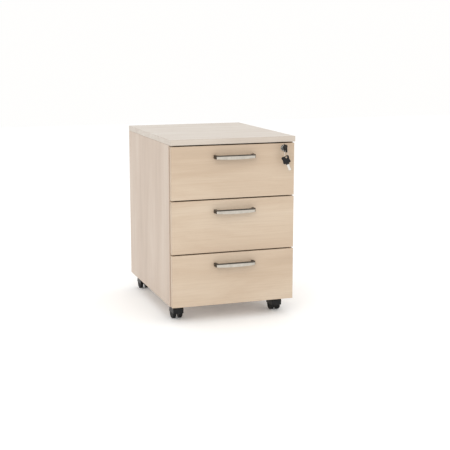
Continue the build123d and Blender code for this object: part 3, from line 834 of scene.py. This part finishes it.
def lock_plug():
    """The plug with its keyway, and the cam disc and pin that lift the bar."""
    disc_front = lock_high.y + CAM_DISC_GAP
    plug = rod("lock_cylinder", in_lock(plug_low.y), in_lock(disc_front), PLUG_RADIUS, 64)
    with bench(plug) as work:
        work.pick("FACE", facing(-Y))
        work.insets(PLUG_RIM)
    half = Vector((KEY_THICKNESS / 2 + KEYWAY_PLAY, 0, KEY_HEIGHT / 2 + KEYWAY_PLAY))
    cut(plug, block("keyway", in_lock(plug_low.y - MM) - half,
                    in_lock(plug_low.y + KEY_LENGTH + MM) + half))
    disc = rod("cam_disc", in_lock(disc_front), in_lock(disc_front + CAM_DISC_THICKNESS), CAM_DISC, 48)
    side_step = PIN_ORBIT / math.sqrt(2)
    offset = Vector((-side_step, 0, -side_step))
    pin = rod("cam_pin", in_lock(disc_front) + offset, in_lock(plug_high.y) + offset, PIN_RADIUS, 32)
    soften(disc, CAM_DISC_EASE)
    soften(pin, PIN_EASE, 3)
    join(soften(plug, PLUG_EASE), disc, pin)
    place(plug, "lock_plug", "lock_plug", bright_nickel)


lock_housing()
lock_plug()


# ---------------------------------------------------------------- keys and ring

COLLAR = 4 * MM
HEAD = 25 * MM
HEAD_THICKNESS = 3.2 * MM
HEAD_ROUND = 5 * MM
HEAD_WAIST = 1.5 * MM
HOLE_RADIUS = 3 * MM
HOLE_FROM_COLLAR = COLLAR + HEAD - 5.5 * MM
HOLE_OFFSET = 3.6 * MM
HEAD_STATIONS = (-4, -2, 0, 2, 4)
HEAD_EASE = 0.35 * MM
BLADE_EASE = 0.15 * MM
HEAD_RIM = ((1.5, 0.0), (0.4, -0.45))
COLLAR_GAP = 0.5 * MM
COLLAR_HALF = 5.6 * MM
KEY_TIP = 1.8 * MM
KEY_GROOVE = (0.3 * MM, 1.9 * MM)
KEY_GROOVE_DEPTH = 0.35 * MM
CUTS = ((6 * MM, 1.2 * MM), (10 * MM, 2.0 * MM), (14 * MM, 1.5 * MM))
SPARE_TILT = math.radians(22)
RING_RADIUS = 11 * MM
RING_YAW = math.radians(38)
RING_SAG = 1.2 * MM
RING_WIRE_HALF = 0.3 * MM
RING_TURN = math.radians(700)
RING_RISE = 1.17 * MM
RING_STEPS = 180


def bow_of_key(name, body, node, seat):
    """A moulded key bow: waisted sides, a raised rim on both faces, and a hole for the ring."""
    middle = COLLAR + HEAD / 2
    half, thick = HEAD / 2, HEAD_THICKNESS / 2
    head = block(name, (COLLAR, -half, -thick), (COLLAR + HEAD, half, thick))
    with bench(head) as work:
        work.pick("EDGE", along(Z))
        work.bevel(HEAD_ROUND, 6)
        for step in HEAD_STATIONS:
            work.slice((middle + step * MM, 0, 0), X)
            work.slice((0, step * MM, 0), Y)
        for step in HEAD_STATIONS:
            pull = HEAD_WAIST * math.cos(math.radians(90 * step / 6))
            for way in (-1, 1):
                work.pick("VERT", lambda v: abs(v.co.x - middle - step * MM) < NEAR
                          and v.co.y * way > half - MM)
                work.move((0, -way * pull, 0))
                work.pick("VERT", lambda v: abs(v.co.y - step * MM) < NEAR
                          and (v.co.x - middle) * way > half - MM)
                work.move((-way * pull, 0, 0))
        for way in (-Z, Z):
            work.pick("FACE", facing(way))
            work.insets(HEAD_RIM)
    collar = block("collar", (COLLAR_GAP, -COLLAR_HALF, -thick), (COLLAR + HEAD_ROUND, COLLAR_HALF, thick))
    weld(head, collar)
    cut(head, rod("hole", (HOLE_FROM_COLLAR, -HOLE_OFFSET, -HEAD), (HOLE_FROM_COLLAR, -HOLE_OFFSET, HEAD),
                  HOLE_RADIUS, 32))
    soften(head, HEAD_EASE)
    head.data.transform(seat)
    place(head, body, node, key_black)


def blade_of_key(name, body, node, seat):
    """A flat steel blade: bitting cuts along one edge, a milled groove on each face, a pointed tip."""
    half, thick = KEY_HEIGHT / 2, KEY_THICKNESS / 2
    blade = block(name, (-KEY_LENGTH, -half, -thick), (COLLAR + HEAD_ROUND, half, thick))
    with bench(blade) as work:
        work.pick("EDGE", lambda e: along(Z)(e) and centre(e).x < 0)
        work.bevel(KEY_TIP, 1)
    for distance, depth in CUTS:
        cut(blade, rod("notch", (-distance, -half, -KEY_THICKNESS), (-distance, -half, KEY_THICKNESS),
                       depth, 6))
    for way in (-1, 1):
        near, far = sorted((way * (thick - KEY_GROOVE_DEPTH), way * (thick + MM)))
        cut(blade, block("groove", (-KEY_LENGTH - MM, KEY_GROOVE[0], near), (0, KEY_GROOVE[1], far)))
    soften(blade, BLADE_EASE)
    blade.data.transform(seat)
    place(blade, body, node, bright_nickel)


def seat_of(origin, along_key, normal):
    """The matrix that takes a key drawn flat along X to where it is held."""
    across = normal.cross(along_key)
    seat = Matrix((along_key, across, normal)).transposed().to_4x4()
    seat.translation = origin
    return seat


def split_ring(pivot_point):
    """A sprung ring of two turns of flattened wire, hanging from the hole of the key in the lock."""
    middle = pivot_point - Z * (RING_SAG + RING_RADIUS)
    bpy.ops.object.select_all(action="DESELECT")
    bpy.ops.mesh.primitive_circle_add(vertices=14, radius=RING_WIRE_HALF, location=(RING_RADIUS, 0, 0),
                                      rotation=(math.radians(90), 0, 0), scale=(1.8, 1.0, 1.0))
    ring = settle("split_ring")
    modify(ring, "SCREW", angle=RING_TURN, screw_offset=RING_RISE, steps=RING_STEPS,
           render_steps=RING_STEPS, axis="Z")
    with bench(ring) as work:
        work.pick("EDGE", lambda e: e.is_boundary)
        bpy.ops.mesh.fill()
        work.pick("FACE", lambda f: True)
        work.move((0, 0, -RING_RISE / 2))
        bpy.ops.mesh.normals_make_consistent(inside=False)
    smooth(ring, 50.0)
    normal = Vector((-math.sin(RING_YAW), math.cos(RING_YAW), 0))
    ring.data.transform(seat_of(middle, Z, normal))
    place(ring, "key_ring", "key_ring", bright_nickel)


key_seat = seat_of(in_lock(plug_low.y), -Y, -X)
bow_of_key("key_bow", "key", "key_head", key_seat)
blade_of_key("key_shank", "key", "key_blade", key_seat)

spare_hole = joint_at("spare_key_swing")
spare_normal = Vector(joints["spare_key_swing"]["axis"]).normalized()
spare_up = Z.cross(spare_normal) * -math.sin(SPARE_TILT) + Z * math.cos(SPARE_TILT)
spare_across = spare_normal.cross(spare_up)
spare_root = spare_hole - spare_up * HOLE_FROM_COLLAR + spare_across * HOLE_OFFSET
spare_seat = seat_of(spare_root, spare_up, spare_normal)
bow_of_key("spare_key_bow", "spare_key", "spare_key_head", spare_seat)
blade_of_key("spare_key_shank", "spare_key", "spare_key_blade", spare_seat)
split_ring(joint_at("key_ring_swing"))


# ---------------------------------------------------------------- castors

HOOD_CLEARANCE = 1.2 * MM
NOSE_DROP = 3 * MM
NECK_RADIUS = 9 * MM
BOSS_RADIUS = 7.5 * MM
TREAD_ROUND = 3 * MM
WHEEL_GAP = 0.5 * MM
NOSE_START = 2 * MM
TREAD_GROOVES = (0.22, 0.42)
TREAD_GROOVE_WIDTH = 0.9 * MM
TREAD_GROOVE = (0.2 * MM, -0.45 * MM)
WHEEL_FACE = ((1.5, 0.0), (1.0, -1.8), (6.0, 0.0), (0.8, 1.5), (2.0, 0.0), (0.4, -0.7))
NOSE_ROUND = 6 * MM
HOOD_ROUND = 1.4 * MM
NECK_DEPTH = 8 * MM
NECK_DISH = (1.2 * MM, -0.8 * MM)
WELL_REACH = 30 * MM


def castor_hood(castor):
    """The cover over the twin wheels: a round shell with a nose, a web between the wheels and a neck."""
    node = castor + "_castor_hood"
    low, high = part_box(node)
    wheel_low, wheel_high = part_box(castor + "_castor_left_wheel")
    right_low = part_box(castor + "_castor_right_wheel")[0]
    y, z = (wheel_low.y + wheel_high.y) / 2, (wheel_low.z + wheel_high.z) / 2
    radius = high.y - y
    middle = (low.x + high.x) / 2
    web = (right_low.x - wheel_high.x) / 2 - WHEEL_GAP
    neck_y = joint_at(castor + "_castor_swivel").y

    hood = rod(castor + "_hood", (low.x, y, z), (high.x, y, z), radius, 72)
    nose = block("nose", (low.x, low.y, z - NOSE_START), (high.x, y, z + radius - NOSE_DROP))
    with bench(nose) as work:
        work.pick("EDGE", lambda e: along(X)(e) and centre(e).y < y - MM and centre(e).z > z)
        work.bevel(NOSE_ROUND, 6)
    weld(hood, nose)
    with bench(hood) as work:
        work.slice((0, 0, z), Z, clear_inner=True, fill=True)
    soften(hood, HOOD_ROUND, 4, 50.0)
    for sign in (-1, 1):
        well = rod("well", (middle + sign * web, y, z), (middle + sign * WELL_REACH, y, z),
                   (wheel_high.z - wheel_low.z) / 2 + HOOD_CLEARANCE, 72)
        cut(hood, well)
    weld(hood, rod("boss", (middle - web, y, z), (middle + web, y, z), BOSS_RADIUS, 48))
    neck = rod("neck", (middle, neck_y, z + radius - NECK_DEPTH), (middle, neck_y, high.z), NECK_RADIUS, 48)
    with bench(neck) as work:
        work.pick("FACE", facing(Z))
        work.inset(*NECK_DISH)
    weld(hood, neck)
    place(smooth(hood, 35.0), castor + "_castor", node, black_castor)


def castor_wheel(castor, side, sign):
    """A moulded wheel: rounded shoulders, grooved tread, dished outer face and a raised hub."""
    node = castor + "_castor_" + side + "_wheel"
    low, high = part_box(node)
    y, z, radius = (low.y + high.y) / 2, (low.z + high.z) / 2, (high.z - low.z) / 2
    inner, outer = (low.x, high.x) if sign > 0 else (high.x, low.x)
    wheel = rod(castor + "_" + side + "_wheel", (inner, y, z), (outer, y, z), radius, 72)
    with bench(wheel) as work:
        work.pick("EDGE", lambda e: abs(centre(e).x - outer) < NEAR and not along(X)(e))
        work.bevel(TREAD_ROUND, 5)
        work.pick("FACE", lambda f: facing(sign * X)(f) and f.calc_area() > 1e-5)
        work.insets(WHEEL_FACE)
        for share in TREAD_GROOVES:
            start = inner + (outer - inner) * share
            end = start + sign * TREAD_GROOVE_WIDTH
            work.slice((start, 0, 0), X)
            work.slice((end, 0, 0), X)
            work.pick("FACE", lambda f: abs(centre(f).x - (start + end) / 2) < 0.2 * MM
                      and abs(f.normal.x) < 0.3)
            work.inset(*TREAD_GROOVE)
    place(smooth(wheel, 40.0), castor + "_" + side + "_wheel", node, wheel_nylon)


for castor in CASTORS:
    castor_hood(castor)
    for side, sign in SIDES.items():
        castor_wheel(castor, side, sign)


# ---------------------------------------------------------------- fastenings kept from the frame

fastenings = ["cam_nuts", "wood_screws", "lock_bar", "lock_bar_guides", "castor_plates"]
fastenings += [drawer + screws for drawer in DRAWERS for screws in ("_handle_screws", "_front_screws")]
fastenings += [castor + "_castor_axle" for castor in CASTORS]
for node in fastenings:
    refinish(node, zinc)


# ---------------------------------------------------------------- floor, light and camera

LAMPS = (("key_light", (-1.6, -3.2, 2.6), 2.4, 34.0, (1.0, 0.985, 0.96)),
         ("fill_light", (2.8, -2.2, 1.4), 2.0, 4.0, (0.97, 0.985, 1.0)),
         ("top_light", (0.2, 0.4, 3.4), 2.6, 12.0, (1.0, 1.0, 1.0)))
LAMP_AIM = Vector((0, 0, 0.3))


def studio():
    """A pale paper floor, even air and three soft lamps."""
    bpy.ops.object.select_all(action="DESELECT")
    bpy.ops.mesh.primitive_plane_add(size=14.0, location=(0, 0, 0))
    floor = bpy.context.active_object
    floor.name = "studio_floor"
    paper = Finish("studio_paper", roughness=0.9, specular_ior_level=0.1, emission_strength=0.10)
    paper.shader.inputs["Emission Color"].default_value = (1.0, 1.0, 1.0, 1.0)
    tooth = paper.noise(paper.place, 40.0, detail=3.0)
    paper.finish(paper.mix(tooth * 0.4, (0.93, 0.93, 0.925), (0.90, 0.90, 0.895)))
    floor.data.materials.append(paper.material)

    world = bpy.data.worlds.new("studio_air")
    bpy.context.scene.world = world
    world.use_nodes = True
    world.node_tree.nodes["Background"].inputs["Color"].default_value = (1.0, 0.995, 0.985, 1.0)
    world.node_tree.nodes["Background"].inputs["Strength"].default_value = 1.0
    bpy.context.scene.view_settings.view_transform = "Standard"

    for name, place_at, size, watts, tint in LAMPS:
        lamp = bpy.data.lights.new(name, "AREA")
        lamp.size = size
        lamp.energy = watts
        lamp.color = tint
        stand = bpy.data.objects.new(name, lamp)
        bpy.context.scene.collection.objects.link(stand)
        stand.location = place_at
        stand.rotation_euler = (LAMP_AIM - Vector(place_at)).to_track_quat("-Z", "Y").to_euler()


EYE = Vector((-1.080, -3.067, 0.923))
PITCH = math.radians(90 - 10.6)
TURN = math.radians(-18.9)
LENS = 82.2


def camera():
    """The eye stands above the top and to the left, placed from the plane of the drawer fronts."""
    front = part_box("top_drawer_front")[0].y
    lens = bpy.data.cameras.new("camera")
    lens.sensor_width = 36.0
    lens.lens = LENS
    eye = bpy.data.objects.new("camera", lens)
    bpy.context.scene.collection.objects.link(eye)
    eye.location = EYE + front * Y
    eye.rotation_euler = (PITCH, 0, TURN)
    bpy.context.scene.camera = eye


studio()
camera()
